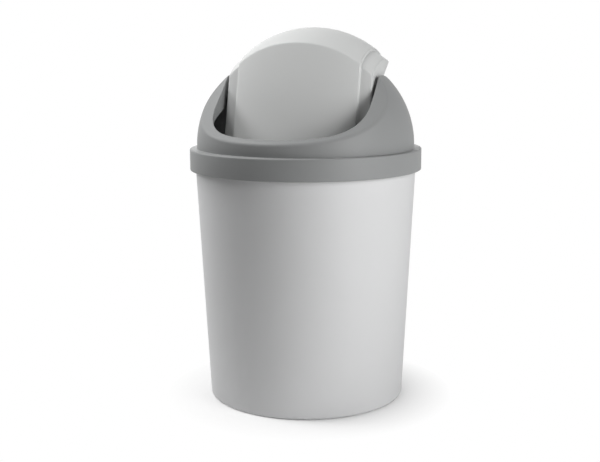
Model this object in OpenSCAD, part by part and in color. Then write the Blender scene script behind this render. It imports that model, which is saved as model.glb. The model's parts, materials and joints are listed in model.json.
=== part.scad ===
// Swing-top waste bin: a tapered round bucket, a lid frame that drops over its rim,
// and a swing flap that hangs by two pins between the frame's ears.
// Millimetres, +Z up, front towards -Y. The origin is the centre of the bucket's foot.
// The flap is drawn at flap_angle, pushed a third of the way in.

/* [Bucket] */
// Height of the bucket, foot to rim
bucket_h = 259; // [180:1:420]
// Outer radius of the wall at the foot
foot_r = 102.3; // [95:0.1:108]
// Width of the rim's thickened edge outside the wall
rim_out = 2.4; // [1.5:0.1:4]
// Thickness of the bucket's wall
bucket_wall = 1.8; // [1.2:0.1:3]
// Thickness of the bucket's floor
floor_t = 2.2; // [1.5:0.1:4]
// Height of the floor's underside over the foot ring
foot_lift = 2.5; // [1:0.1:6]
// Width of the foot ring
foot_ring_w = 6; // [3:0.5:15]
// Rounding of the bucket's bottom edge
foot_round = 3; // [1:0.5:4]
// Height of the rim's thickened edge
rim_edge_h = 4.5; // [3:0.5:10]

/* [Lid frame] */
// Outer radius of the skirt
skirt_r = 120; // [110:0.1:130]
// Height of the skirt
skirt_h = 21.7; // [15:0.1:40]
// Wall of the lid frame
lid_wall = 2.2; // [1.6:0.1:3]
// Rounding of the skirt's edges
skirt_round = 1.6; // [0.5:0.1:2]
// Width of the ledge between the skirt's outside and the dome
ledge_w = 7.5; // [6:0.1:10]
// Distance of the centre of the dome's arc from the axis
dome_arc_x = 15; // [8:0.5:25]
// Height of the arc's centre over the ledge
dome_arc_lift = 2.8; // [0:0.1:6]

/* [Mouth] */
// Depth of the ears at the ledge, from the dome's widest line to the cheeks
ear_depth = 31.4; // [26:0.1:36]
// Width of the lip's band in front, seen from above
lip_band_w = 7.5; // [6.6:0.1:10]
// Plan radius of the mouth's front corners
mouth_corner_r = 60; // [45:1:70]
// Height of the front lip over the ledge
lip_h = 16.2; // [10:0.1:25]
// Slope of the lip band at the front edge
lip_slope = 27; // [20:0.5:32]
// Radius of the sweep that rises from the lip to the ears
sweep_r = 340; // [300:5:400]
// Radius of the band's fall towards the sides
band_fall_r = 370; // [250:5:600]
// Height of the back rim over the ledge
back_rim_h = 57; // [45:0.1:58]
// Depth of the back rim's inner edge, from the dome's widest line
back_rim_depth = 22.5; // [18:0.1:28]
// Height of the cheeks' lower edge over the ledge
cheek_low_h = 39.3; // [30:0.1:45]
// Distance of the cheeks' bend in front of the pivot
cheek_bend_y = 25; // [15:1:40]
// Slope of the cheeks' lower edge in front of the bend
cheek_slope = 23; // [15:1:30]

/* [Pivot] */
// Height of the pivot over the ledge
pivot_h = 58.4; // [56:0.1:61]
// Radius of the flap's pins
pin_r = 4; // [3:0.1:5]
// Radial clearance of a pin in its bore
pin_clear = 0.05; // [0.02:0.01:0.1]
// Radius of the bosses round the bores
bore_boss_r = 8; // [6.5:0.1:9]
// Length of a bore through cheek and boss
bore_len = 6.2; // [4:0.1:7]
// Radius of the shoulders that the pins stand on
pin_shoulder_r = 7; // [6:0.1:8]
// Side play between a pin's shoulder and the cheek
side_play = 0.4; // [0.2:0.05:0.8]

/* [Swing flap] */
// Angle of the flap, pushed in from the closed position
flap_angle = 32; // [0:1:90]
// Gap between the flap's end plates and the cheeks
flap_side_gap = 4.1; // [2:0.1:5]
// Width of the shoulders on either side of the raised middle
shoulder_w = 12; // [8:0.1:16]
// Step from the raised middle down to the shoulders
shoulder_step = 2.4; // [1.5:0.1:4]
// Wall of the flap
flap_wall = 2; // [1.5:0.1:3]
// Distance of the hood's ball shape inside the dome's widest line
hood_inset = 6.2; // [5:0.1:8]
// Height of the hood's centre over the ledge
hood_lift = 8.9; // [7:0.1:10]
// Height of the hood's lower edge over the back rim when closed
hood_gap = 0.7; // [0.4:0.1:2]
// Lean of the push panel from upright when closed
panel_lean = 45.6; // [44:0.1:47]
// Distance of the ridge behind the pivot when closed
ridge_y = 2; // [0:0.5:4]
// Crown radius of the panel across its width
panel_crown_r = 181; // [160:1:240]
// Depth of the flap's side walls along the panel
side_wall_d = 16; // [12:0.5:22]
// Radius of the end plates round the pins
pin_plate_r = 11; // [9:0.5:14]
// Gap between the closed flap and the mouth's edge
mouth_gap = 3; // [2:0.1:5]

/* [Hidden] */

$fn = 128;
rim_seat = 0.3;
eps = 0.01;
reach = 300;

rim_r = skirt_r - lid_wall - rim_seat;
bucket_top_r = rim_r - rim_out;

ledge_z = bucket_h + lid_wall;
skirt_low_z = ledge_z - skirt_h;
dome_r = skirt_r - ledge_w;
dome_arc_r = dome_r - dome_arc_x;
dome_arc_z = ledge_z + dome_arc_lift;

mouth_half_w = dome_r - ear_depth;
lip_r = dome_r - lip_band_w;
lip_z = ledge_z + lip_h;
sweep_y = -lip_r - sweep_r * sin(lip_slope);
sweep_z = lip_z + sweep_r * cos(lip_slope);
back_rim_z = ledge_z + back_rim_h;
back_edge_r = dome_r - back_rim_depth;
cheek_low_z = ledge_z + cheek_low_h;

pivot_z = ledge_z + pivot_h;
flap_half_w = mouth_half_w - flap_side_gap;
middle_half_w = flap_half_w - shoulder_w;
hood_r = dome_r - hood_inset;
hood_z = ledge_z + hood_lift;
hood_low_z = back_rim_z + hood_gap;
ridge_z = hood_z + sqrt(pow(hood_r, 2) - pow(ridge_y, 2));
side_depth = panel_crown_r - sqrt(pow(panel_crown_r, 2) - pow(flap_half_w, 2)) + side_wall_d;

// Points of a round corner in a profile, from angle a0 to a1
function arc(x, y, r, a0, a1, n = 8) =
    [for (i = [0 : n]) let (a = a0 + (a1 - a0) * i / n) [x + r * cos(a), y + r * sin(a)]];

// Plan of a crowned front: a wide arc towards -Y, a corner arc that meets it on either
// side, and straight sides back to back_y
module crowned_plan(arc_r, half_w, corner_r, back_y) {
    corner_x = half_w - corner_r;
    corner_y = -sqrt(pow(arc_r - corner_r, 2) - pow(corner_x, 2));
    past_arc = 2 * arc_r / (arc_r - corner_r);
    intersection() {
        circle(r = arc_r);
        polygon([[0, 0], past_arc * [-corner_x, corner_y], past_arc * [corner_x, corner_y]]);
    }
    for (side = [-1, 1])
        translate([side * corner_x, corner_y]) circle(r = corner_r);
    translate([-half_w, corner_y]) square([2 * half_w, back_y - corner_y]);
}

// Bucket

// Radius of the wall's outside at height z
function wall_r(z) = foot_r + (bucket_top_r - foot_r) * z / bucket_h;

// One closed outline: foot ring, taper, thickened rim, inside wall, floor
module bucket_profile() {
    recess_r = foot_r - foot_ring_w;
    edge_low_z = bucket_h - rim_edge_h;
    edge_round = bucket_wall / 2;
    inner_z = foot_lift + floor_t;
    inner_arc_z = inner_z + foot_round;
    polygon(concat(
        [[0, foot_lift], [recess_r - foot_lift / 2, foot_lift], [recess_r, 0]],
        arc(wall_r(foot_round) - foot_round, foot_round, foot_round, -90, 0),
        [[wall_r(edge_low_z), edge_low_z], [rim_r, edge_low_z]],
        arc(rim_r - edge_round, bucket_h - edge_round, edge_round, 0, 90),
        arc(bucket_top_r - bucket_wall + edge_round, bucket_h - edge_round, edge_round, 90, 180),
        arc(wall_r(inner_arc_z) - bucket_wall - foot_round, inner_arc_z, foot_round, 0, -90),
        [[0, inner_z]]));
}

module bucket() {
    color("#d2d3d3") rotate_extrude() bucket_profile();
}

// Lid frame

module skirt() {
    rotate_extrude() {
        polygon(concat(
            [[skirt_r - lid_wall, skirt_low_z]],
            arc(skirt_r - skirt_round / 2, skirt_low_z + skirt_round / 2, skirt_round / 2, -90, 0),
            arc(skirt_r - skirt_round, ledge_z - skirt_round, skirt_round, 0, 90),
            [[dome_r - lid_wall / 2, ledge_z], [dome_r - lid_wall / 2, bucket_h],
             [skirt_r - lid_wall, bucket_h]]));
    }
}

// The dome as a filled solid, set in by inset on its curved side
module dome(inset, low_z) {
    r = dome_arc_r - inset;
    rotate_extrude() {
        intersection() {
            union() {
                translate([dome_arc_x, dome_arc_z]) circle(r = r);
                translate([0, dome_arc_z - r]) square([dome_arc_x, 2 * r]);
            }
            translate([0, low_z]) square([reach, reach]);
        }
    }
}

// Plan of the mouth's front half, grown outwards by grow
module mouth_front_plan(grow) {
    crowned_plan(lip_r + grow, mouth_half_w + grow, mouth_corner_r + grow, eps);
}

module mouth_back_plan(grow) {
    intersection() {
        circle(r = back_edge_r + grow);
        translate([-mouth_half_w - grow, 0]) square([2 * (mouth_half_w + grow), reach]);
    }
}

// The volume swept clear over the lip band: a wide wheel on an axis across the bin, whose
// radius grows towards the sides
module sweep() {
    translate([0, sweep_y, sweep_z])
    rotate([0, 90, 0])
    rotate_extrude($fn = 240) {
        difference() {
            translate([0, -skirt_r]) square([sweep_r + mouth_corner_r, 2 * skirt_r]);
            translate([sweep_r + band_fall_r, 0]) circle(r = band_fall_r, $fn = 240);
        }
    }
}

// Side view of what lies above the cheeks' lower edge, drawn across the bin
module above_cheek_edge() {
    front_z = cheek_low_z - (dome_r - cheek_bend_y) * tan(cheek_slope);
    rotate([90, 0, 90])
    linear_extrude(2 * reach, center = true)
        polygon([[-dome_r, front_z], [-cheek_bend_y, cheek_low_z], [dome_r, cheek_low_z],
                 [dome_r, ledge_z + reach], [-dome_r, ledge_z + reach]]);
}

// The wall that stands round the mouth, as deep as the cheeks, which run back to the dome
module mouth_wall() {
    intersection() {
        translate([0, 0, ledge_z]) linear_extrude(reach) {
            mouth_front_plan(lid_wall);
            mouth_back_plan(lid_wall);
            for (side = [-1, 1])
                translate([side * (mouth_half_w + lid_wall / 2) - lid_wall / 2, 0])
                    square([lid_wall, dome_r]);
        }
        above_cheek_edge();
    }
}

module back_ledge() {
    translate([-reach, 0, back_rim_z - lid_wall]) cube([2 * reach, reach, lid_wall]);
}

module dome_hollow() {
    difference() {
        dome(lid_wall, ledge_z - 2 * lid_wall);
        translate([0, 0, -lid_wall]) sweep();
        mouth_wall();
        back_ledge();
    }
}

module mouth_hole() {
    translate([0, 0, bucket_h]) linear_extrude(reach) {
        mouth_front_plan(0);
        mouth_back_plan(0);
    }
    translate([-mouth_half_w, 0, back_rim_z])
        cube([2 * mouth_half_w, reach, reach]);
}

module at_each_pivot() {
    for (side = [-90, 90])
        translate([0, 0, pivot_z]) rotate([0, side, 0]) children();
}

module bore_bosses() {
    intersection() {
        at_each_pivot() translate([0, 0, mouth_half_w]) cylinder(r = bore_boss_r, h = bore_len);
        dome(0, ledge_z);
    }
}

module lid_frame() {
    color("#8f9191")
    difference() {
        union() {
            skirt();
            difference() {
                dome(0, ledge_z - lid_wall);
                dome_hollow();
            }
            bore_bosses();
        }
        mouth_hole();
        sweep();
        at_each_pivot()
            translate([0, 0, mouth_half_w - eps]) cylinder(r = pin_r + pin_clear, h = bore_len + 2 * eps);
    }
}

// Swing flap, drawn closed and then turned in

module at_hood_centre() {
    translate([0, 0, hood_z]) rotate([0, 90, 0]) children();
}

// The panel's crown is round about a line that leans with the panel
module at_crown_axis() {
    translate([0, ridge_y, ridge_z]) rotate([-panel_lean, 0, 0]) translate([0, panel_crown_r, 0])
        children();
}

// Section across the flap without its raised middle: flat shoulders, which drop from the
// step to the arc of radius arc_r at the flap's half width, and run on straight by over
module shoulder_section(arc_r, inset, over) {
    r = arc_r - inset;
    end_x = flap_half_w - inset;
    step_y = shoulder_step - sqrt(pow(r, 2) - pow(middle_half_w, 2));
    end_y = -sqrt(pow(r, 2) - pow(flap_half_w, 2));
    over_y = end_y + over * (end_y - step_y) / (end_x - middle_half_w);
    polygon([[-end_x - over, reach], [-end_x - over, over_y], [-middle_half_w, step_y],
             [middle_half_w, step_y], [end_x + over, over_y], [end_x + over, reach]]);
}

// The hood turned about an axis across the bin, cut by the panel drawn out along its lean
module shoulder_form(inset) {
    intersection() {
        at_hood_centre() rotate_extrude() intersection() {
            rotate(90) shoulder_section(hood_r, inset, shoulder_w / 2);
            translate([0, -reach]) square([reach, 2 * reach]);
        }
        at_crown_axis() linear_extrude(2 * reach, center = true)
            shoulder_section(panel_crown_r, inset, 0);
    }
}

module middle_form(inset) {
    half_w = middle_half_w - inset;
    intersection() {
        at_hood_centre() sphere(r = hood_r - inset);
        at_crown_axis() cylinder(r = panel_crown_r - inset, h = 2 * reach, center = true);
        translate([-half_w, -reach, 0]) cube([2 * half_w, 2 * reach, 2 * reach]);
    }
}

module flap_solid(inset) {
    shoulder_form(inset);
    middle_form(inset);
}

// Side view of the part that the shell keeps: hood, strip along the panel, pivot plates
module flap_keep() {
    rotate([90, 0, 90])
    linear_extrude(2 * reach, center = true) {
        translate([-reach, hood_low_z]) square([2 * reach, reach]);
        translate([ridge_y, ridge_z]) rotate(-panel_lean)
            translate([-reach, -reach]) square([reach + side_depth, 2 * reach]);
        translate([0, pivot_z]) circle(r = pin_plate_r);
    }
}

// Plan that the closed flap stays within, so it clears the mouth's edge
module flap_plan() {
    translate([0, 0, ledge_z]) linear_extrude(reach) {
        mouth_front_plan(-mouth_gap);
        translate([-reach, -eps]) square([2 * reach, reach]);
    }
}

module pins() {
    shoulder_end = mouth_half_w - side_play;
    at_each_pivot() {
        translate([0, 0, flap_half_w - flap_wall])
            cylinder(r = pin_shoulder_r, h = shoulder_end - flap_half_w + flap_wall);
        translate([0, 0, flap_half_w])
            cylinder(r = pin_r, h = mouth_half_w + bore_len - side_play - flap_half_w);
    }
}

module flap_closed() {
    intersection() {
        difference() {
            flap_solid(0);
            flap_solid(flap_wall);
        }
        flap_keep();
        flap_plan();
    }
    pins();
}

module swing_flap() {
    color("#cfd0d0")
    translate([0, 0, pivot_z]) rotate([flap_angle, 0, 0]) translate([0, 0, -pivot_z])
        flap_closed();
}

bucket();
lid_frame();
swing_flap();
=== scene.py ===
import json
import math

import bmesh
import bpy
from mathutils import Matrix, Quaternion, Vector


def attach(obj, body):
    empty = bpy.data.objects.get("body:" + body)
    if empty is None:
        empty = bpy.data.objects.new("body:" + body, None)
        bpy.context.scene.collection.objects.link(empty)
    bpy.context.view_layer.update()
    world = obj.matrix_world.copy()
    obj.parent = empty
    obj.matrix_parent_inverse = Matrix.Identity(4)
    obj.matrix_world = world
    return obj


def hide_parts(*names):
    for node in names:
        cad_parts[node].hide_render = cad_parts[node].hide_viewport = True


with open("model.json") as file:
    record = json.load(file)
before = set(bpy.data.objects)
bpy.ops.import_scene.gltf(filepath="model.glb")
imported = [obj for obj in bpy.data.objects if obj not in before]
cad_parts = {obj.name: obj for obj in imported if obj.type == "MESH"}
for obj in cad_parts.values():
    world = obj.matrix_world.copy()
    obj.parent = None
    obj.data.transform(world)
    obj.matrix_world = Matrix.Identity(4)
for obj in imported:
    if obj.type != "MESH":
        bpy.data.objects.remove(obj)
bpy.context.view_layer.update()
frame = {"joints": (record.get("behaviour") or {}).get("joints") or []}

scene = bpy.context.scene
scene.view_settings.view_transform = "Standard"

# Lengths are in metres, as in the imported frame: the front is towards -Y, and +Z is up.
# An azimuth says how far a place lies round the bin, from the front towards +X.

# Camera. Its turn, pitch and roll are in radians.
CAMERA_AZIMUTH = math.radians(19)
CAMERA_DISTANCE = 1.0784
CAMERA_HEIGHT = 0.3654
CAMERA_TURN = 0.0058
CAMERA_PITCH = 0.1773
CAMERA_ROLL = -0.0051
CAMERA_LENS_MM = 62.17
CAMERA_SENSOR_MM = 36


def round_the_bin(azimuth, distance, height):
    """A point at a height, that far from the bin's axis."""
    return Vector((distance * math.sin(azimuth), -distance * math.cos(azimuth), height))


def make_camera():
    data = bpy.data.cameras.new("photo_camera")
    data.sensor_width = CAMERA_SENSOR_MM
    data.lens = CAMERA_LENS_MM
    camera = bpy.data.objects.new("photo_camera", data)
    camera.location = round_the_bin(CAMERA_AZIMUTH, CAMERA_DISTANCE, CAMERA_HEIGHT)
    yaw = CAMERA_AZIMUTH + CAMERA_TURN
    level = math.cos(CAMERA_PITCH)
    ahead = Vector((-math.sin(yaw) * level, math.cos(yaw) * level, -math.sin(CAMERA_PITCH)))
    camera.rotation_mode = "QUATERNION"
    roll = Quaternion((0, 0, 1), CAMERA_ROLL)
    camera.rotation_quaternion = ahead.to_track_quat("-Z", "Y") @ roll
    scene.collection.objects.link(camera)
    scene.camera = camera


# Shader maths

# A Mix node has its own sockets for each kind of value. These are the ones for colours.
MIX_SHARE, MIX_FIRST, MIX_SECOND, MIX_RESULT = 0, 6, 7, 2


class Socket:
    """An output of a node that can be used in Python sums, each of which adds a Math node."""

    def __init__(self, shader, output):
        self.shader = shader
        self.output = output

    def maths(self, operation, *values):
        inputs = dict(enumerate(values))
        return self.shader.add("ShaderNodeMath", {"operation": operation}, inputs)

    def at_least(self, other):
        return self.maths("MAXIMUM", self, other)

    def at_most(self, other):
        return self.maths("MINIMUM", self, other)

    def __add__(self, other):
        return self.maths("ADD", self, other)

    def __radd__(self, other):
        return self.maths("ADD", other, self)

    def __sub__(self, other):
        return self.maths("SUBTRACT", self, other)

    def __rsub__(self, other):
        return self.maths("SUBTRACT", other, self)

    def __mul__(self, other):
        return self.maths("MULTIPLY", self, other)

    def __rmul__(self, other):
        return self.maths("MULTIPLY", other, self)

    def __truediv__(self, other):
        return self.maths("DIVIDE", self, other)

    def __rtruediv__(self, other):
        return self.maths("DIVIDE", other, self)

    def __pow__(self, other):
        return self.maths("POWER", self, other)

    def __rpow__(self, other):
        return self.maths("POWER", other, self)


class Shader:
    """The node tree of a material or a world, built one node at a time."""

    def __init__(self, owner):
        owner.use_nodes = True
        self.tree = owner.node_tree
        self.tree.nodes.clear()

    def add(self, kind, settings=None, inputs=None, output=0):
        node = self.tree.nodes.new(kind)
        for name, value in (settings or {}).items():
            setattr(node, name, value)
        for name, value in (inputs or {}).items():
            if isinstance(value, Socket):
                self.tree.links.new(value.output, node.inputs[name])
            else:
                node.inputs[name].default_value = value
        return Socket(self, node.outputs[output]) if node.outputs else None

    def object_point(self):
        return self.add("ShaderNodeTexCoord", output="Object")

    def distance_from(self, centre):
        """Distance of the shaded point from another point of the frame."""
        inputs = {0: self.object_point(), 1: centre}
        offset = self.add("ShaderNodeVectorMath", {"operation": "SUBTRACT"}, inputs)
        return self.add("ShaderNodeVectorMath", {"operation": "LENGTH"}, {0: offset}, "Value")

    def noise(self, point, look):
        return self.add("ShaderNodeTexNoise", None, {"Vector": point, **look}, "Fac")

    def mixed_colour(self, share, first, second):
        inputs = {MIX_SHARE: share, MIX_FIRST: first, MIX_SECOND: second}
        return self.add("ShaderNodeMix", {"data_type": "RGBA"}, inputs, MIX_RESULT)

    def mixed_surface(self, share, first, second):
        return self.add("ShaderNodeMixShader", None, {0: share, 1: first, 2: second})


def shade(colour, strength):
    """A colour made that much brighter, as a socket takes it."""
    return tuple(channel * strength for channel in colour) + (1.0,)


def grey(level):
    return shade((level,) * 3, 1.0)


# Plastics
BUCKET_GREY = (0.617, 0.62, 0.624)
FRAME_GREY = (0.249, 0.254, 0.254)
FLAP_GREY = (0.622, 0.63, 0.624)
PLASTIC_IOR = 1.49
MATTE_SPECULAR = 0.3
SATIN_ROUGHNESS = 0.5
NOISE_MEAN = 0.5
CLOUD_LOOK = {"Scale": 14.0, "Detail": 3.0, "Roughness": 0.6}
CLOUD_IN_COLOUR = 0.015
CLOUD_IN_ROUGHNESS = 0.06
GRAIN_LOOK = {"Scale": 2600.0, "Detail": 2.0, "Roughness": 0.55}
GRAIN_STRENGTH = 0.25
GRAIN_DEPTH = 0.00006


def moulded_plastic(name, colour):
    """Satin injection-moulded polypropylene: fine grain, and faint clouds in colour and gloss."""
    material = bpy.data.materials.new(name)
    shader = Shader(material)
    point = shader.object_point()
    cloud = shader.noise(point, CLOUD_LOOK)
    darker, lighter = shade(colour, 1 - CLOUD_IN_COLOUR), shade(colour, 1 + CLOUD_IN_COLOUR)
    grain = {
        "Height": shader.noise(point, GRAIN_LOOK),
        "Strength": GRAIN_STRENGTH,
        "Distance": GRAIN_DEPTH,
    }
    plastic = {
        "Base Color": shader.mixed_colour(cloud, darker, lighter),
        "Roughness": SATIN_ROUGHNESS + CLOUD_IN_ROUGHNESS * (cloud - NOISE_MEAN),
        "IOR": PLASTIC_IOR,
        "Specular IOR Level": MATTE_SPECULAR,
        "Normal": shader.add("ShaderNodeBump", None, grain),
    }
    surface = shader.add("ShaderNodeBsdfPrincipled", None, plastic)
    shader.add("ShaderNodeOutputMaterial", None, {"Surface": surface})
    return material


# Floor, world and lamps
FLOOR_HALF = 0.6
FLOOR_GREY = 0.8
LAMP_AIM_HEIGHT = 0.2
SOFTBOX_SIZE = 0.35

# Painted shade round the foot, over the lamps' real shadow: out to START from its centre the
# camera sees the lit paper, and over REACH it fades into white
SHADOW_CENTRE = (0.004, -0.004, 0.0)
SHADOW_START = 0.097
SHADOW_REACH = 0.055
SHADOW_CURVE = 0.4


def white_for_the_camera(shader, surface, white):
    """White to the camera, in reflections and through glass, and else the given surface."""
    camera = shader.add("ShaderNodeLightPath", output="Is Camera Ray")
    outputs = camera.output.node.outputs
    glossy = Socket(shader, outputs["Is Glossy Ray"])
    through = Socket(shader, outputs["Is Transmission Ray"])
    return shader.mixed_surface(camera.at_least(glossy.at_least(through)), surface, white)


def make_world():
    """White to the camera all round. It gives no light, which only the softboxes do."""
    world = bpy.data.worlds.new("studio")
    shader = Shader(world)
    dark = shader.add("ShaderNodeBackground", None, {"Color": grey(1.0), "Strength": 0.0})
    white = shader.add("ShaderNodeBackground", None, {"Color": grey(1.0), "Strength": 1.0})
    seen = white_for_the_camera(shader, dark, white)
    shader.add("ShaderNodeOutputWorld", None, {"Surface": seen})
    scene.world = world


def floor_paper():
    """Pale paper that the camera sees as pure white, but round the foot, where it shows the
    lamps' real shadow inside a ring of painted shade.
    """
    material = bpy.data.materials.new("pale_floor")
    shader = Shader(material)
    paper = shader.add("ShaderNodeBsdfDiffuse", None, {"Color": grey(FLOOR_GREY)})
    white = shader.add("ShaderNodeEmission", None, {"Color": grey(1.0), "Strength": 1.0})
    # Painted shade: near the foot the camera sees the darker paper, and further out white
    away = (shader.distance_from(SHADOW_CENTRE) - SHADOW_START) / SHADOW_REACH
    whiteness = away.at_least(0.0).at_most(1.0) ** SHADOW_CURVE
    seen = white_for_the_camera(shader, paper, shader.mixed_surface(whiteness, paper, white))
    shader.add("ShaderNodeOutputMaterial", None, {"Surface": seen})
    return material


def mesh_object(bm, name, material):
    """Puts a finished bmesh into the scene as an object."""
    mesh = bpy.data.meshes.new(name)
    bm.to_mesh(mesh)
    bm.free()
    mesh.materials.append(material)
    made = bpy.data.objects.new(name, mesh)
    scene.collection.objects.link(made)
    return made


def make_floor():
    bm = bmesh.new()
    bmesh.ops.create_grid(bm, x_segments=1, y_segments=1, size=FLOOR_HALF)
    floor = mesh_object(bm, "studio_floor", floor_paper())


def make_softbox(name, azimuth, height, distance, power, width=SOFTBOX_SIZE):
    """A soft lamp, aimed at the bin. Its azimuth is in degrees, its power in watts."""
    data = bpy.data.lights.new(name, "AREA")
    data.shape = "RECTANGLE"
    data.size = width
    data.size_y = SOFTBOX_SIZE
    data.energy = power
    lamp = bpy.data.objects.new(name, data)
    lamp.location = round_the_bin(math.radians(azimuth), distance, height)
    ahead = Vector((0, 0, LAMP_AIM_HEIGHT)) - lamp.location
    lamp.rotation_mode = "QUATERNION"
    lamp.rotation_quaternion = ahead.to_track_quat("-Z", "Y")
    lamp.visible_camera = False
    scene.collection.objects.link(lamp)


# Driving sizes, the same as the CAD model's

# Bucket
BUCKET_H = 0.259
BUCKET_WALL = 0.0018
FOOT_R = 0.1023
FOOT_LIFT = 0.0025
FLOOR_T = 0.0022
FOOT_RING_W = 0.006
FOOT_ROUND = 0.003
RIM_OUT = 0.0024
RIM_EDGE_H = 0.0045
RIM_SEAT = 0.0003

# Lid frame, with heights over its ledge
SKIRT_R = 0.120
SKIRT_H = 0.0217
SKIRT_ROUND = 0.0016
LID_WALL = 0.0022
LEDGE_W = 0.0075
DOME_ARC_X = 0.015
DOME_ARC_LIFT = 0.0028

# Mouth, with heights over the ledge and depths in from the dome's widest line
EAR_DEPTH = 0.0314
LIP_BAND_W = 0.0075
LIP_H = 0.0162
LIP_SLOPE = math.radians(27)
MOUTH_CORNER_R = 0.060
SWEEP_R = 0.340
BAND_FALL_R = 0.370
BACK_RIM_H = 0.057
BACK_RIM_DEPTH = 0.0225
CHEEK_LOW_H = 0.0393
CHEEK_BEND_Y = -0.025
CHEEK_SLOPE = math.tan(math.radians(23))

# Pins and bores. The frame's joint says where they are and how far the flap is from closed.
HINGE = frame["joints"][0]
PIVOT = tuple(HINGE["pos_m"][1:])
FLAP_REST = math.radians(-HINGE["range_deg"][0])
PIN_R = 0.004
PIN_CLEAR = 0.00005
PIN_SHOULDER_R = 0.007
SIDE_PLAY = 0.0004
BORE_BOSS_R = 0.008
BORE_LENGTH = 0.0062

# Swing flap, closed, with heights and depths as the mouth's
FLAP_WALL = 0.002
FLAP_SIDE_GAP = 0.0041
SHOULDER_W = 0.012
SHOULDER_STEP = 0.0024
HOOD_INSET = 0.0062
HOOD_LIFT = 0.0089
HOOD_GAP = 0.0007
RIDGE_Y = 0.002
PANEL_LEAN = math.radians(45.6)
PANEL_CROWN_R = 0.181
SIDE_WALL_D = 0.016
PIN_PLATE_R = 0.011
MOUTH_GAP = 0.003

# What is worked out from them

FLOOR_TOP_Z = FOOT_LIFT + FLOOR_T
RIM_R = SKIRT_R - LID_WALL - RIM_SEAT
LEDGE_Z = BUCKET_H + LID_WALL
SKIRT_LOW_Z = LEDGE_Z - SKIRT_H
SKIRT_LOW_ROUND = SKIRT_ROUND / 2
DOME_R = SKIRT_R - LEDGE_W
DOME_ARC_R = DOME_R - DOME_ARC_X
DOME_ARC_Z = LEDGE_Z + DOME_ARC_LIFT
MOUTH_HALF_W = DOME_R - EAR_DEPTH
LIP_R = DOME_R - LIP_BAND_W
LIP_Z = LEDGE_Z + LIP_H
SWEEP_Y = -LIP_R - SWEEP_R * math.sin(LIP_SLOPE)
SWEEP_Z = LIP_Z + SWEEP_R * math.cos(LIP_SLOPE)
BACK_EDGE_R = DOME_R - BACK_RIM_DEPTH
BACK_RIM_Z = LEDGE_Z + BACK_RIM_H
CHEEK_LOW_Z = LEDGE_Z + CHEEK_LOW_H
BORE_R = PIN_R + PIN_CLEAR
PIN_SHOULDER_END = MOUTH_HALF_W - SIDE_PLAY
PIN_END = PIN_SHOULDER_END + BORE_LENGTH
FLAP_HALF_W = MOUTH_HALF_W - FLAP_SIDE_GAP
MIDDLE_HALF_W = FLAP_HALF_W - SHOULDER_W
HOOD_R = DOME_R - HOOD_INSET
HOOD_Z = LEDGE_Z + HOOD_LIFT
HOOD_LOW_Z = BACK_RIM_Z + HOOD_GAP
PANEL_DOWN = (-math.sin(PANEL_LEAN), -math.cos(PANEL_LEAN))
PANEL_IN = (math.cos(PANEL_LEAN), -math.sin(PANEL_LEAN))

# Where hood and panel meet, to a hundredth of a millimetre
RIDGE = (RIDGE_Y, round(HOOD_Z + math.sqrt(HOOD_R**2 - RIDGE_Y**2), 5))

# Roundings where the CAD model is sharp. The first two are for edges and inside corners.
EDGE_ROUND = 0.0004
INSIDE_ROUND = 0.0003
RIM_FOOT_ROUND = 0.0002
CREASE_ROUND = 0.0026
LIP_ROUND = 0.0011
CHEEK_LOW_ROUND = 0.0006
STEP_ROUND = 0.0012
STEP_FOOT_ROUND = 0.0006
RIDGE_ROUND = 0.0016
FLAP_EDGE_ROUND = 0.0005
PIN_END_ROUND = 0.0006
PIN_ROOT_ROUND = 0.0001

# How far the foot ring's inner side leans in on its way up to the floor
FOOT_RING_LEAN = 0.0012

# Points closer than this are one point
TINY = 0.000001

# The most of a side that a rounding takes, so that the roundings at its two ends never meet
NEARLY_HALF = 0.45

# Numbers of points in the roundings, and of rows and columns in the meshes
CORNER_POINTS = 4
BUCKET_CORNER_POINTS = 8
SKIRT_CORNER_POINTS = 7
RIM_CORNER_POINTS = 6
PIN_CORNER_POINTS = 6
BAND_BEND_POINTS = 8
STEP_POINTS = 6
STEP_FOOT_POINTS = 5
RIDGE_POINTS = 9
PLATE_ARC_POINTS = 16
DOME_ROWS = 36
BAND_ROWS = 9
INSIDE_ROWS = 20
HOOD_ROWS = 40
PANEL_ROWS = 30
BUCKET_COLUMNS = 240
PIN_COLUMNS = 64
MIDDLE_COLUMNS = 20
SHOULDER_COLUMNS = 9
FLAP_EDGE_SEGMENTS = 2

# Columns of the lid frame, in degrees from the front: each stretch's end and spacing
FRAME_COLUMNS = ((70, 1), (96, 1 / 3), (114, 1), (124, 1 / 3), (180, 1.5))

# Where the underside's rows stand, as shares of its width
UNDERSIDE_ROWS = (0.3, 0.6, 0.9)

# How often the search for the crease halves its range
CREASE_HALVINGS = 40

# Centre of the circle whose angles number a section's points
RING_CENTRE = 2

# The patch that is cut out of a cheek for its bore: half its width, and how far off the
# cheek's plane its points may lie
BORE_PATCH = 0.0095
PATCH_OFF_FLAT = 0.00002

# The flap's edges that are rounded turn by more than this
FLAP_EDGE_ANGLE = math.radians(50)


# Lines and meshes


def blend(first, second, share):
    return tuple(a + (b - a) * share for a, b in zip(first, second))


def towards(start, end, distance):
    """The point at a distance from start on the way to end, at most nearly halfway."""
    length = math.dist(start, end)
    if length < TINY:
        return start
    return blend(start, end, min(distance / length, NEARLY_HALF))


def steps(start, end, count):
    """Numbers from start to end, both included."""
    return [start + (end - start) * index / (count - 1) for index in range(count)]


def bend_point(start, corner, end, share):
    """A point of the round bend that leaves start and arrives at end along its corner."""
    return blend(blend(start, corner, share), blend(corner, end, share), share)


def bend(start, corner, end, count):
    return [bend_point(start, corner, end, share) for share in steps(0, 1, count)]


def rounded_corner(before, corner, after, radius, count=CORNER_POINTS):
    return bend(towards(corner, before, radius), corner, towards(corner, after, radius), count)


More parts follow.
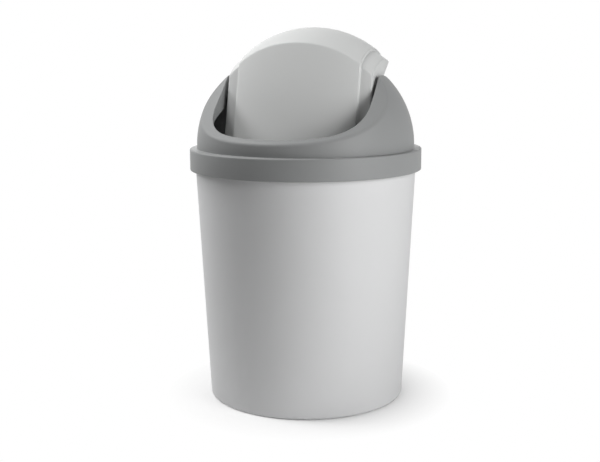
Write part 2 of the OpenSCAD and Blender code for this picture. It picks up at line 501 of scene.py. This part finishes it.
def rounded_line(corners, count):
    """A line of corners, each with its own rounding but for its two ends."""
    line = [corners[0][0]]
    for before, (corner, radius), after in zip(corners, corners[1:], corners[2:]):
        line += rounded_corner(before[0], corner, after[0], radius, count)
    return line + [corners[-1][0]]


def spun_profile(profile, column_count, closed=False):
    """A profile of (radius, height) points turned once round the Z axis.

    A profile that isn't closed starts and ends on the axis.
    """
    bm = bmesh.new()
    line = [bm.verts.new((radius, 0, height)) for radius, height in profile]
    following = line[1:] + (line[:1] if closed else [])
    edges = [bm.edges.new(pair) for pair in zip(line, following)]
    bmesh.ops.spin(
        bm,
        geom=line + edges,
        cent=(0, 0, 0),
        axis=(0, 0, 1),
        angle=math.tau,
        steps=column_count,
        use_merge=True,
    )
    return bm


def finished_piece(bm, name, body, nodes, plastic):
    """A smooth piece with its faces outwards, on its body and in the place of its CAD nodes."""
    bmesh.ops.remove_doubles(bm, verts=bm.verts, dist=TINY)
    bmesh.ops.recalc_face_normals(bm, faces=bm.faces)
    for face in bm.faces:
        face.smooth = True
    piece = mesh_object(bm, name, plastic)
    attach(piece, body)
    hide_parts(*nodes)
    return piece


# Bucket


def make_bucket():
    top_r = RIM_R - RIM_OUT
    taper = (top_r - FOOT_R) / BUCKET_H
    recess_r = FOOT_R - FOOT_RING_W
    edge_low_z = BUCKET_H - RIM_EDGE_H
    corners = [
        ((0, FOOT_LIFT), 0),
        ((recess_r - FOOT_RING_LEAN, FOOT_LIFT), INSIDE_ROUND),
        ((recess_r, 0), EDGE_ROUND),
        ((FOOT_R, 0), FOOT_ROUND),
        ((FOOT_R + taper * edge_low_z, edge_low_z), RIM_FOOT_ROUND),
        ((RIM_R, edge_low_z), EDGE_ROUND),
        ((RIM_R, BUCKET_H), BUCKET_WALL / 2),
        ((top_r - BUCKET_WALL, BUCKET_H), BUCKET_WALL / 2),
        ((FOOT_R + taper * FLOOR_TOP_Z - BUCKET_WALL, FLOOR_TOP_Z), FOOT_ROUND),
        ((0, FLOOR_TOP_Z), 0),
    ]
    return spun_profile(rounded_line(corners, BUCKET_CORNER_POINTS), BUCKET_COLUMNS)


# Lid frame: the surfaces that its outlines follow


def crowned_front(arc_r, half_w, corner_r):
    """Centre of the right corner arc of a front that bulges on a wide arc round the axis."""
    corner_x = half_w - corner_r
    return corner_x, math.sqrt((arc_r - corner_r) ** 2 - corner_x**2)


def side_radius(half_w, azimuth):
    """How far an upright plane at half_w to the side lies from the axis, at an azimuth."""
    return half_w / max(math.sin(abs(azimuth)), TINY)


def mouth_radius(azimuth, grow=0.0):
    """How far the mouth's edge lies from the axis."""
    turn = abs(azimuth)
    half_w = MOUTH_HALF_W + grow
    centre_x, centre_y = crowned_front(LIP_R, MOUTH_HALF_W, MOUTH_CORNER_R)
    centre_turn = math.atan2(centre_x, centre_y)
    if turn <= centre_turn:
        return LIP_R + grow
    if turn <= math.atan2(half_w, centre_y):
        reach = math.hypot(centre_x, centre_y)
        across = reach * math.sin(turn - centre_turn)
        along = reach * math.cos(turn - centre_turn)
        return along + math.sqrt((MOUTH_CORNER_R + grow) ** 2 - across**2)
    side = side_radius(half_w, azimuth)
    return side if turn <= math.pi / 2 else min(side, BACK_EDGE_R + grow)


def dome_height(radius, inset=0.0):
    rise = (DOME_ARC_R - inset) ** 2 - (radius - DOME_ARC_X) ** 2
    return DOME_ARC_Z + math.sqrt(max(rise, 0))


def dome_radius(height, inset=0.0):
    return DOME_ARC_X + math.sqrt((DOME_ARC_R - inset) ** 2 - (height - DOME_ARC_Z) ** 2)


def band_height(radius, azimuth):
    """The swept surface that the lip's band and the ears' front edges lie on."""
    x = radius * math.sin(azimuth)
    y = -radius * math.cos(azimuth)
    wheel_r = SWEEP_R + BAND_FALL_R - math.sqrt(BAND_FALL_R**2 - x**2)
    return SWEEP_Z - math.sqrt(max(wheel_r**2 - (y - SWEEP_Y) ** 2, 0))


def crease_radius(azimuth, inner_r, inset=0.0):
    """Where the dome meets the band's surface, or the mouth's edge where it doesn't."""

    def over_band(radius):
        return dome_height(radius, inset) - band_height(radius, azimuth) + inset

    if over_band(inner_r) <= 0:
        return inner_r
    low, high = inner_r, DOME_ARC_X + DOME_ARC_R - inset
    for _ in range(CREASE_HALVINGS):
        middle = (low + high) / 2
        if over_band(middle) > 0:
            low = middle
        else:
            high = middle
    return low


def cheek_edge(radius, azimuth):
    """Height of the mouth wall's lower edge."""
    y = -radius * math.cos(azimuth)
    return CHEEK_LOW_Z + CHEEK_SLOPE * min(y - CHEEK_BEND_Y, 0)


# Lid frame: the parts of an outline


def dome_stretch(low, high, inset, trim_low, trim_high, count):
    """Points up the dome's curve from the point low to the point high, held off both ends."""
    arc_r = DOME_ARC_R - inset
    first = math.asin((low[1] - DOME_ARC_Z) / arc_r) + trim_low / arc_r
    last = math.asin((high[1] - DOME_ARC_Z) / arc_r)
    last = max(last - trim_high / arc_r, first)
    return [
        (DOME_ARC_X + arc_r * math.cos(turn), DOME_ARC_Z + arc_r * math.sin(turn))
        for turn in steps(first, last, count)
    ]


def band_blend(on_dome, crease, lip, on_wall, azimuth):
    """Over the soft crease, across the band and round the lip, or in one bend if it is narrow."""
    length = math.dist(crease, lip)
    rounds = CREASE_ROUND + LIP_ROUND
    width = max(length, rounds)

    def on_band(distance):
        share = distance / width
        if length < rounds:
            return blend(crease, lip, share)
        radius = crease[0] + (lip[0] - crease[0]) * share
        return radius, band_height(radius, azimuth)

    band = [on_band(distance) for distance in steps(CREASE_ROUND, width - LIP_ROUND, BAND_ROWS)]
    over_crease = bend(on_dome, crease, band[0], BAND_BEND_POINTS)
    round_lip = bend(band[-1], lip, on_wall, BAND_BEND_POINTS)
    wide = over_crease[:-1] + band + round_lip[1:]
    narrow = [
        blend(
            bend_point(on_dome, crease, lip, share),
            bend_point(crease, lip, on_wall, share),
            share,
        )
        for share in steps(0, 1, len(wide))
    ]
    share = min(length / rounds, 1)
    eased_share = share**2 * (3 - 2 * share)
    return [blend(a, b, eased_share) for a, b in zip(narrow, wide)]


def outer_edge(azimuth, inner_r):
    """Crease, lip, foot of the drop below it and rim: a band in front, a cheek behind."""
    if abs(azimuth) <= math.pi / 2:
        crease_r = crease_radius(azimuth, inner_r)
        crease = (crease_r, dome_height(crease_r))
        lip = (inner_r, min(band_height(inner_r, azimuth), dome_height(inner_r)))
        rim = (inner_r, (lip[1] + cheek_edge(inner_r, azimuth)) / 2)
        return crease, lip, rim, rim
    side_r = side_radius(MOUTH_HALF_W, azimuth)
    top_r = min(side_r, dome_radius(BACK_RIM_Z)) if side_r > inner_r else inner_r
    top = (top_r, dome_height(top_r))
    return top, top, (top_r, BACK_RIM_Z), (inner_r, BACK_RIM_Z)


def underside(azimuth, inner_r, wall_r):
    """Both ends of the hidden surface one wall below the outside, next to the mouth's wall."""
    if abs(azimuth) > math.pi / 2 and side_radius(MOUTH_HALF_W, azimuth) > inner_r:
        z = min(dome_height(wall_r, LID_WALL), BACK_RIM_Z - LID_WALL)
        return (wall_r, z), (max(dome_radius(z, LID_WALL), wall_r), z)
    return [
        (radius, min(band_height(radius, azimuth) - LID_WALL, dome_height(radius, LID_WALL)))
        for radius in (wall_r, crease_radius(azimuth, wall_r, LID_WALL))
    ]


def frame_section(azimuth):
    """The lid frame's closed outline in the upright plane at an azimuth, as (radius, height)."""
    inner_r = mouth_radius(azimuth)
    wall_r = mouth_radius(azimuth, LID_WALL)
    crease, lip, drop_low, rim = outer_edge(azimuth, inner_r)
    under = underside(azimuth, inner_r, wall_r)
    wall_low = (inner_r, cheek_edge(inner_r, azimuth))
    wall_low_out = (wall_r, cheek_edge(wall_r, azimuth))
    on_wall = (lip[0], lip[1] - min(LIP_ROUND, NEARLY_HALF * (lip[1] - drop_low[1])))

    seat = (dome_radius(BUCKET_H, LID_WALL), BUCKET_H)
    collar = (SKIRT_R - LID_WALL, BUCKET_H)
    skirt_in = (SKIRT_R - LID_WALL, SKIRT_LOW_Z)
    skirt_out = (SKIRT_R, SKIRT_LOW_Z)
    shoulder = (SKIRT_R, LEDGE_Z)
    foot = (dome_radius(LEDGE_Z), LEDGE_Z)
    dome = dome_stretch(foot, crease, 0, EDGE_ROUND, CREASE_ROUND, DOME_ROWS)
    inside = dome_stretch(seat, under[1], LID_WALL, INSIDE_ROUND, INSIDE_ROUND, INSIDE_ROWS)[::-1]

    outline = rounded_corner(seat, collar, skirt_in, INSIDE_ROUND)
    outline += rounded_corner(collar, skirt_in, skirt_out, INSIDE_ROUND)
    outline += rounded_corner(skirt_in, skirt_out, shoulder, SKIRT_LOW_ROUND)
    outline += rounded_corner(skirt_out, shoulder, foot, SKIRT_ROUND, SKIRT_CORNER_POINTS)
    outline += bend(towards(foot, shoulder, EDGE_ROUND), foot, dome[0], CORNER_POINTS)[:-1]
    outline += dome
    outline += band_blend(dome[-1], crease, lip, on_wall, azimuth)[1:]
    outline += rounded_corner(lip, drop_low, rim, EDGE_ROUND)
    outline += rounded_corner(drop_low, rim, wall_low, LIP_ROUND, RIM_CORNER_POINTS)
    outline += rounded_corner(rim, wall_low, wall_low_out, CHEEK_LOW_ROUND)
    outline += rounded_corner(wall_low, wall_low_out, under[0], CHEEK_LOW_ROUND)
    outline += rounded_corner(wall_low_out, under[0], under[1], INSIDE_ROUND)
    outline += [blend(under[0], under[1], share) for share in UNDERSIDE_ROWS]
    outline += inside
    outline += rounded_corner(inside[-1], seat, collar, INSIDE_ROUND)
    return outline


# Lid frame: the mesh


def frame_azimuths():
    """Azimuths of the mesh's columns, from the front once round the bin."""
    half = [0.0]
    for end, spacing in FRAME_COLUMNS:
        count = round((end - half[-1]) / spacing)
        half += steps(half[-1], end, count + 1)[1:]
    return [math.radians(turn) for turn in half + [-turn for turn in half[-2:0:-1]]]


def unit_ring(count):
    """A circle of radius 1, which numbers a section's points by their angle round its centre."""
    turns = [math.tau * index / count for index in range(count)]
    return [(RING_CENTRE + math.cos(turn), math.sin(turn)) for turn in turns]


def make_lid_frame():
    """A spun tube of evenly spaced rows and columns, whose points then move to the sections."""
    azimuths = frame_azimuths()
    sections = [frame_section(azimuth) for azimuth in azimuths]
    row_count = len(sections[0])
    bm = spun_profile(unit_ring(row_count), len(azimuths), closed=True)
    for vertex in bm.verts:
        across = math.hypot(vertex.co.x, vertex.co.y)
        row_turn = math.atan2(vertex.co.z, across - RING_CENTRE) / math.tau
        column_turn = math.atan2(vertex.co.y, vertex.co.x) / math.tau
        row = round(row_turn * row_count) % row_count
        column = round(column_turn * len(azimuths)) % len(azimuths)
        vertex.co = round_the_bin(azimuths[column], *sections[column][row])
    bmesh.ops.remove_doubles(bm, verts=bm.verts, dist=TINY)
    bore_cheek(bm, 1)
    bore_cheek(bm, -1)
    return bm


def across_pin(x):
    """Places a shape that was made round the Z axis round the pins' axis, at x."""
    return Matrix.Translation((x, PIVOT[0], PIVOT[1])) @ Matrix.Rotation(math.pi / 2, 4, "Y")


def bore_circle(bm, radius, x):
    """The sharp edge of a bore or boss, as a ring of edges round the pins' axis."""
    ring = bmesh.ops.create_circle(bm, segments=PIN_COLUMNS, radius=radius, matrix=across_pin(x))
    edges = list({edge for vertex in ring["verts"] for edge in vertex.link_edges})
    for edge in edges:
        edge.smooth = False
    return edges


def open_round_pin(bm, x):
    """Takes the flat of the cheek at x away round the pins' axis, and gives the hole's edges."""
    flat = [
        face
        for face in bm.faces
        if all(abs(v.co.x - x) < PATCH_OFF_FLAT and abs(v.co.y) < BORE_PATCH for v in face.verts)
    ]
    rim = {edge for face in flat for edge in face.edges}
    rim = [edge for edge in rim if not all(face in flat for face in edge.link_faces)]
    bmesh.ops.delete(bm, geom=flat, context="FACES_KEEP_BOUNDARY")
    return rim


def bore_cheek(bm, side):
    """Makes the bore for a pin, and the boss round it on the cheek's hidden side."""
    cheek_x = side * MOUTH_HALF_W
    behind_x = side * (MOUTH_HALF_W + LID_WALL)
    boss_x = side * (MOUTH_HALF_W + BORE_LENGTH)
    front = bore_circle(bm, BORE_R, cheek_x)
    boss_foot = bore_circle(bm, BORE_BOSS_R, behind_x)
    boss_end = bore_circle(bm, BORE_BOSS_R, boss_x)
    back = bore_circle(bm, BORE_R, boss_x)
    for flat_x, ring in ((cheek_x, front), (behind_x, boss_foot)):
        hole = open_round_pin(bm, flat_x)
        bmesh.ops.triangle_fill(bm, use_beauty=True, edges=hole + ring, normal=(side, 0, 0))
    for pair in ((boss_foot, boss_end), (boss_end, back), (back, front)):
        bmesh.ops.bridge_loops(bm, edges=pair[0] + pair[1])


# Swing flap


def flap_depth(arc_r, x, depth):
    """Distance of the flap's surface inside the top of an arc of radius arc_r, at x across."""
    sag_step = arc_r - math.sqrt(arc_r**2 - MIDDLE_HALF_W**2)
    if x <= MIDDLE_HALF_W:
        return arc_r - math.sqrt(arc_r**2 - x**2) + depth
    sag_end = arc_r - math.sqrt(arc_r**2 - FLAP_HALF_W**2)
    share = (x - MIDDLE_HALF_W) / (FLAP_HALF_W - MIDDLE_HALF_W)
    return sag_step + (sag_end - SHOULDER_STEP - sag_step) * share + depth


def flap_front(x):
    """How far in front of the axis the closed flap ends, so that it clears the mouth."""
    centre_x, centre_y = crowned_front(LIP_R, MOUTH_HALF_W, MOUTH_CORNER_R)
    arc_r = LIP_R - MOUTH_GAP
    corner_r = MOUTH_CORNER_R - MOUTH_GAP
    if x <= arc_r * centre_x / math.hypot(centre_x, centre_y):
        return math.sqrt(arc_r**2 - x**2)
    return centre_y + math.sqrt(corner_r**2 - (x - centre_x) ** 2)


def flap_line(x, depth):
    """The closed flap's outline from its rear edge over the ridge to its lower edge, at x."""
    hood_r = HOOD_R - flap_depth(HOOD_R, x, depth)
    sag = flap_depth(PANEL_CROWN_R, x, depth)
    top = (RIDGE[0] + sag * PANEL_IN[0], RIDGE[1] + sag * PANEL_IN[1])

    # The ridge is where the panel's line through top meets the hood's arc
    along = top[0] * PANEL_DOWN[0] + (top[1] - HOOD_Z) * PANEL_DOWN[1]
    off_axis = top[0] ** 2 + (top[1] - HOOD_Z) ** 2
    down = -along - math.sqrt(along**2 - off_axis + hood_r**2)
    ridge = (top[0] + down * PANEL_DOWN[0], top[1] + down * PANEL_DOWN[1])
    reach = (ridge[0] + flap_front(x)) / -PANEL_DOWN[0]

    rear_turn = math.asin((HOOD_LOW_Z - HOOD_Z) / (hood_r - FLAP_WALL))
    ridge_turn = math.atan2(ridge[1] - HOOD_Z, ridge[0]) - RIDGE_ROUND / hood_r
    hood = [
        (hood_r * math.cos(turn), HOOD_Z + hood_r * math.sin(turn))
        for turn in steps(rear_turn, ridge_turn, HOOD_ROWS)
    ]
    panel = [
        (ridge[0] + distance * PANEL_DOWN[0], ridge[1] + distance * PANEL_DOWN[1])
        for distance in steps(RIDGE_ROUND, reach, PANEL_ROWS)
    ]
    return hood + bend(hood[-1], ridge, panel[0], RIDGE_POINTS)[1:-1] + panel


def flap_half_section():
    """Half the flap's section as (x, depth) points: middle, step, shoulder and end rounding."""
    step_x = MIDDLE_HALF_W
    step = SHOULDER_STEP
    points = [(x, 0.0) for x in steps(0, step_x - STEP_ROUND, MIDDLE_COLUMNS)]
    points += bend(points[-1], (step_x, 0.0), (step_x, STEP_ROUND), STEP_POINTS)[1:]
    foot = (step_x, step - STEP_FOOT_ROUND)
    points += bend(foot, (step_x, step), (step_x + STEP_FOOT_ROUND, step), STEP_FOOT_POINTS)
    shoulder_end = FLAP_HALF_W - STEP_ROUND
    points += [(x, step) for x in steps(points[-1][0], shoulder_end, SHOULDER_COLUMNS)[1:]]
    end = (FLAP_HALF_W, step + STEP_ROUND)
    points += bend(points[-1], (FLAP_HALF_W, step), end, STEP_POINTS)[1:]
    return points


def plate_outline(lower_end):
    """The end plate's inner edge: up beside the panel, round the pin, back under the hood."""
    depth = flap_depth(PANEL_CROWN_R, FLAP_HALF_W, SHOULDER_STEP) + SIDE_WALL_D
    start = (RIDGE[0] + depth * PANEL_IN[0], RIDGE[1] + depth * PANEL_IN[1])
    low = (lower_end[0] - start[0]) / PANEL_DOWN[0]
    bottom = (lower_end[0], start[1] + low * PANEL_DOWN[1])
    offset = (PIVOT[0] - start[0], PIVOT[1] - start[1])
    off_line = offset[0] * PANEL_IN[0] + offset[1] * PANEL_IN[1]
    line_turn = math.atan2(PANEL_DOWN[1], PANEL_DOWN[0]) + math.asin(off_line / PIN_PLATE_R)
    rim_turn = math.asin((HOOD_LOW_Z - PIVOT[1]) / PIN_PLATE_R)
    arc = [
        (PIVOT[0] + PIN_PLATE_R * math.cos(turn), PIVOT[1] + PIN_PLATE_R * math.sin(turn))
        for turn in steps(line_turn, rim_turn, PLATE_ARC_POINTS)
    ]
    return [bottom] + arc


def at_rest(x, point):
    """A point of the closed flap, turned in about the pins to where the flap rests."""
    y, z = point[0] - PIVOT[0], point[1] - PIVOT[1]
    cos, sin = math.cos(FLAP_REST), math.sin(FLAP_REST)
    return (x, PIVOT[0] + y * cos - z * sin, PIVOT[1] + y * sin + z * cos)


def make_flap():
    """The flap's outer skin, a grid with a column for each x, and its two end plates."""
    half = flap_half_section()
    section = [(-x, depth) for x, depth in half[:0:-1]] + half
    lines = [flap_line(abs(x), depth) for x, depth in section]
    columns, rows = len(section), len(lines[0])

    # The grid's points run from -1 to 1 both ways, which gives each its column and row
    bm = bmesh.new()
    bmesh.ops.create_grid(bm, x_segments=columns - 1, y_segments=rows - 1, size=1)
    ends = {0: {}, columns - 1: {}}
    for vertex in bm.verts:
        column = round((vertex.co.x + 1) / 2 * (columns - 1))
        row = round((vertex.co.y + 1) / 2 * (rows - 1))
        vertex.co = at_rest(section[column][0], lines[column][row])
        if column in ends:
            ends[column][row] = vertex

    for column, edge in ends.items():
        x = section[column][0]
        outline = plate_outline(lines[column][-1])
        inner = [bm.verts.new(at_rest(x, point)) for point in outline]
        bm.faces.new([edge[row] for row in range(rows)] + inner)
    return bm


def give_wall(flap):
    """Gives the flap's skin its wall inwards, and rounds the wall's sharp edges."""
    wall = flap.modifiers.new("wall", "SOLIDIFY")
    wall.thickness = FLAP_WALL
    wall.offset = -1
    wall.use_even_offset = True
    edges = flap.modifiers.new("edges", "BEVEL")
    edges.width = FLAP_EDGE_ROUND
    edges.segments = FLAP_EDGE_SEGMENTS
    edges.limit_method = "ANGLE"
    edges.angle_limit = FLAP_EDGE_ANGLE


def make_pins():
    """The two pins on their shoulders, which start inside the flap's end plates."""
    root = FLAP_HALF_W - FLAP_WALL / 2
    corners = [
        ((0, root), 0),
        ((PIN_SHOULDER_R, root), PIN_ROOT_ROUND),
        ((PIN_SHOULDER_R, PIN_SHOULDER_END), EDGE_ROUND),
        ((PIN_R, PIN_SHOULDER_END), INSIDE_ROUND),
        ((PIN_R, PIN_END), PIN_END_ROUND),
        ((0, PIN_END), 0),
    ]
    bm = spun_profile(rounded_line(corners, PIN_CORNER_POINTS), PIN_COLUMNS)
    bmesh.ops.transform(bm, matrix=across_pin(0), verts=bm.verts)
    other = bmesh.ops.duplicate(bm, geom=bm.verts[:] + bm.edges[:] + bm.faces[:])["geom"]
    other = [item for item in other if isinstance(item, bmesh.types.BMVert)]
    half_turn = Matrix.Rotation(math.pi, 3, "Z")
    bmesh.ops.rotate(bm, cent=(0, PIVOT[0], 0), matrix=half_turn, verts=other)
    return bm


make_camera()
make_world()
make_floor()
make_softbox("key_softbox", azimuth=64, height=0.5, distance=0.75, power=2.85)
make_softbox("low_softbox", azimuth=62, height=0.2, distance=0.75, power=1.75)
make_softbox("left_softbox", azimuth=-82, height=0.7, distance=0.8, power=3.8)
make_softbox("high_softbox", azimuth=-75, height=1.1, distance=0.45, power=6.3)
make_softbox("back_softbox", azimuth=199, height=0.35, distance=0.9, power=1.8, width=0.5)

bucket_plastic = moulded_plastic("bucket_plastic", BUCKET_GREY)
frame_plastic = moulded_plastic("frame_plastic", FRAME_GREY)
flap_plastic = moulded_plastic("flap_plastic", FLAP_GREY)

finished_piece(make_bucket(), "bucket_shell", "bin", ["bucket"], bucket_plastic)
finished_piece(
    make_lid_frame(), "lid_frame_shell", "bin", ["lid_frame"], frame_plastic
)
swing_flap = finished_piece(
    make_flap(), "swing_flap_shell", "flap", ["swing_flap"], flap_plastic
)
give_wall(swing_flap)
finished_piece(make_pins(), "flap_pins", "flap", ["swing_flap"], flap_plastic)
